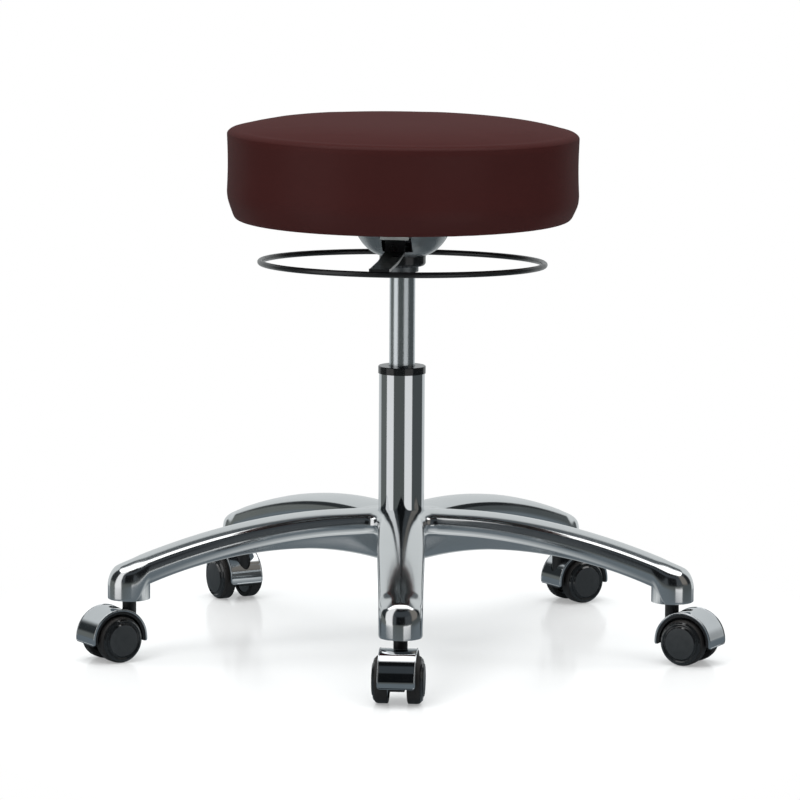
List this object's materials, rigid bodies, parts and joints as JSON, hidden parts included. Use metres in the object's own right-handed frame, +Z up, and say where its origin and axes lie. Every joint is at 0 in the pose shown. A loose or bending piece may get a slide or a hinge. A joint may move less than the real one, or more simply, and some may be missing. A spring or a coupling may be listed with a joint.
{
  "type": "adjustable stool",
  "caption": "Height-adjustable round stool: padded vinyl seat on a gas lift, worked by a ring lever, over a polished star base on casters.",
  "frame": {"origin": "on the column's axis at floor level", "axes": "+Z up along the column's axis; the front arm of the base points along -Y; +X to the right seen from the front"},
  "size_m": [0.7007, 0.6712, 0.5794],
  "materials": {
    "polished_aluminium": "polished",
    "chrome_tube": "polished",
    "hood_chrome": "polished",
    "cap_plastic": "moulded, gloss",
    "rod_chrome": "ground and plated",
    "rod_steel": "ground",
    "bearing_steel": "satin",
    "spring_steel": "oiled",
    "zinc_steel": "zinc plated",
    "socket_steel": "satin",
    "grey_pressed_steel": "satin",
    "bush_plastic": "matte",
    "inner_plastic": "matte",
    "collar_plastic": "gloss",
    "stop_rubber": "matte",
    "black_enamel": "gloss",
    "plywood": "raw",
    "foam": "matte",
    "burgundy_vinyl": "fine grain",
    "black_nonwoven": "matte",
    "caster_nylon": "satin",
    "wheel_gloss": "gloss",
    "wheel_tread": "matte"
  },
  "bodies": {
    "base": {"star_base": "polished_aluminium", "caster_stems": "zinc_steel", "grip_rings": "spring_steel", "outer_tube": "chrome_tube", "tube_cap": "cap_plastic", "guide_bush": "bush_plastic", "thrust_bearing": "bearing_steel"},
    "lift_core": {"piston_rod": "rod_steel", "piston": "inner_plastic", "bump_stop": "stop_rubber", "retaining_clip": "spring_steel"},
    "seat": {"pressure_cylinder": "rod_chrome", "rod_gland": "inner_plastic", "taper_socket": "socket_steel", "collar": "collar_plastic", "mount_dish": "grey_pressed_steel", "mount_screws": "zinc_steel", "tee_nuts": "zinc_steel", "seat_board": "plywood", "foam_pad": "foam", "seat_cover": "burgundy_vinyl", "dust_cover": "black_nonwoven"},
    "ring_lever": {"lever_ring": "black_enamel", "lever_strap": "black_enamel"},
    "release_button": {"release_pin": "rod_steel"},
    "front_caster": {"front_caster_core": "caster_nylon", "front_caster_hood": "hood_chrome", "front_caster_axle": "zinc_steel"},
    "front_caster_left_wheel_set": {"front_caster_left_wheel": "wheel_gloss", "front_caster_left_tread": "wheel_tread"},
    "front_caster_right_wheel_set": {"front_caster_right_wheel": "wheel_gloss", "front_caster_right_tread": "wheel_tread"},
    "right_caster": {"right_caster_core": "caster_nylon", "right_caster_hood": "hood_chrome", "right_caster_axle": "zinc_steel"},
    "right_caster_left_wheel_set": {"right_caster_left_wheel": "wheel_gloss", "right_caster_left_tread": "wheel_tread"},
    "right_caster_right_wheel_set": {"right_caster_right_wheel": "wheel_gloss", "right_caster_right_tread": "wheel_tread"},
    "back_right_caster": {"back_right_caster_core": "caster_nylon", "back_right_caster_hood": "hood_chrome", "back_right_caster_axle": "zinc_steel"},
    "back_right_caster_left_wheel_set": {"back_right_caster_left_wheel": "wheel_gloss", "back_right_caster_left_tread": "wheel_tread"},
    "back_right_caster_right_wheel_set": {"back_right_caster_right_wheel": "wheel_gloss", "back_right_caster_right_tread": "wheel_tread"},
    "back_left_caster": {"back_left_caster_core": "caster_nylon", "back_left_caster_hood": "hood_chrome", "back_left_caster_axle": "zinc_steel"},
    "back_left_caster_left_wheel_set": {"back_left_caster_left_wheel": "wheel_gloss", "back_left_caster_left_tread": "wheel_tread"},
    "back_left_caster_right_wheel_set": {"back_left_caster_right_wheel": "wheel_gloss", "back_left_caster_right_tread": "wheel_tread"},
    "left_caster": {"left_caster_core": "caster_nylon", "left_caster_hood": "hood_chrome", "left_caster_axle": "zinc_steel"},
    "left_caster_left_wheel_set": {"left_caster_left_wheel": "wheel_gloss", "left_caster_left_tread": "wheel_tread"},
    "left_caster_right_wheel_set": {"left_caster_right_wheel": "wheel_gloss", "left_caster_right_tread": "wheel_tread"}
  },
  "joints": [
    {"name": "seat_swivel", "type": "hinge", "parent": "base", "child": "lift_core", "pos_m": [0, 0, 0.0948], "axis": [0, 0, 1], "continuous": true},
    {"name": "seat_lift", "type": "slide", "parent": "lift_core", "child": "seat", "axis": [0, 0, 1], "range_m": [-0.098, 0]},
    {"name": "ring_lift", "type": "hinge", "parent": "seat", "child": "ring_lever", "pos_m": [-0.00782, -0.04938, 0.45304], "axis": [-0.9877, 0.1564, 0], "range_deg": [0, 4], "stiffness_Nm_per_rad": 10, "springref_deg": -11.46},
    {"name": "button_press", "type": "slide", "parent": "seat", "child": "release_button", "axis": [0, 0, -1], "range_m": [0, 0.0036], "stiffness_N_per_m": 4000},
    {"name": "front_caster_swivel", "type": "hinge", "parent": "base", "child": "front_caster", "pos_m": [0, -0.308, 0.0644], "axis": [0, 0, 1], "continuous": true},
    {"name": "front_caster_left_wheel_spin", "type": "hinge", "parent": "front_caster", "child": "front_caster_left_wheel_set", "pos_m": [-0.00186, -0.32972, 0.025], "axis": [0.9963, -0.0854, 0], "continuous": true},
    {"name": "front_caster_right_wheel_spin", "type": "hinge", "parent": "front_caster", "child": "front_caster_right_wheel_set", "pos_m": [-0.00186, -0.32972, 0.025], "axis": [0.9963, -0.0854, 0], "continuous": true},
    {"name": "right_caster_swivel", "type": "hinge", "parent": "base", "child": "right_caster", "pos_m": [0.29292, -0.09518, 0.0644], "axis": [0, 0, 1], "continuous": true},
    {"name": "right_caster_left_wheel_spin", "type": "hinge", "parent": "right_caster", "child": "right_caster_left_wheel_set", "pos_m": [0.31223, -0.10531, 0.025], "axis": [0.4648, 0.8854, 0], "continuous": true},
    {"name": "right_caster_right_wheel_spin", "type": "hinge", "parent": "right_caster", "child": "right_caster_right_wheel_set", "pos_m": [0.31223, -0.10531, 0.025], "axis": [0.4648, 0.8854, 0], "continuous": true},
    {"name": "back_right_caster_swivel", "type": "hinge", "parent": "base", "child": "back_right_caster", "pos_m": [0.18104, 0.24918, 0.0644], "axis": [0, 0, 1], "continuous": true},
    {"name": "back_right_caster_left_wheel_spin", "type": "hinge", "parent": "back_right_caster", "child": "back_right_caster_left_wheel_set", "pos_m": [0.19953, 0.26073, 0.025], "axis": [-0.5299, 0.848, 0], "continuous": true},
    {"name": "back_right_caster_right_wheel_spin", "type": "hinge", "parent": "back_right_caster", "child": "back_right_caster_right_wheel_set", "pos_m": [0.19953, 0.26073, 0.025], "axis": [-0.5299, 0.848, 0], "continuous": true},
    {"name": "back_left_caster_swivel", "type": "hinge", "parent": "base", "child": "back_left_caster", "pos_m": [-0.18104, 0.24918, 0.0644], "axis": [0, 0, 1], "continuous": true},
    {"name": "back_left_caster_left_wheel_spin", "type": "hinge", "parent": "back_left_caster", "child": "back_left_caster_left_wheel_set", "pos_m": [-0.19161, 0.26824, 0.025], "axis": [-0.8746, -0.4848, 0], "continuous": true},
    {"name": "back_left_caster_right_wheel_spin", "type": "hinge", "parent": "back_left_caster", "child": "back_left_caster_right_wheel_set", "pos_m": [-0.19161, 0.26824, 0.025], "axis": [-0.8746, -0.4848, 0], "continuous": true},
    {"name": "left_caster_swivel", "type": "hinge", "parent": "base", "child": "left_caster", "pos_m": [-0.29292, -0.09518, 0.0644], "axis": [0, 0, 1], "continuous": true},
    {"name": "left_caster_left_wheel_spin", "type": "hinge", "parent": "left_caster", "child": "left_caster_left_wheel_set", "pos_m": [-0.31133, -0.10686, 0.025], "axis": [0.5358, -0.8443, 0], "continuous": true},
    {"name": "left_caster_right_wheel_spin", "type": "hinge", "parent": "left_caster", "child": "left_caster_right_wheel_set", "pos_m": [-0.31133, -0.10686, 0.025], "axis": [0.5358, -0.8443, 0], "continuous": true}
  ],
  "couplings": [
    {"joint": "button_press", "follows": "ring_lift", "m_per_rad": 0.05}
  ]
}
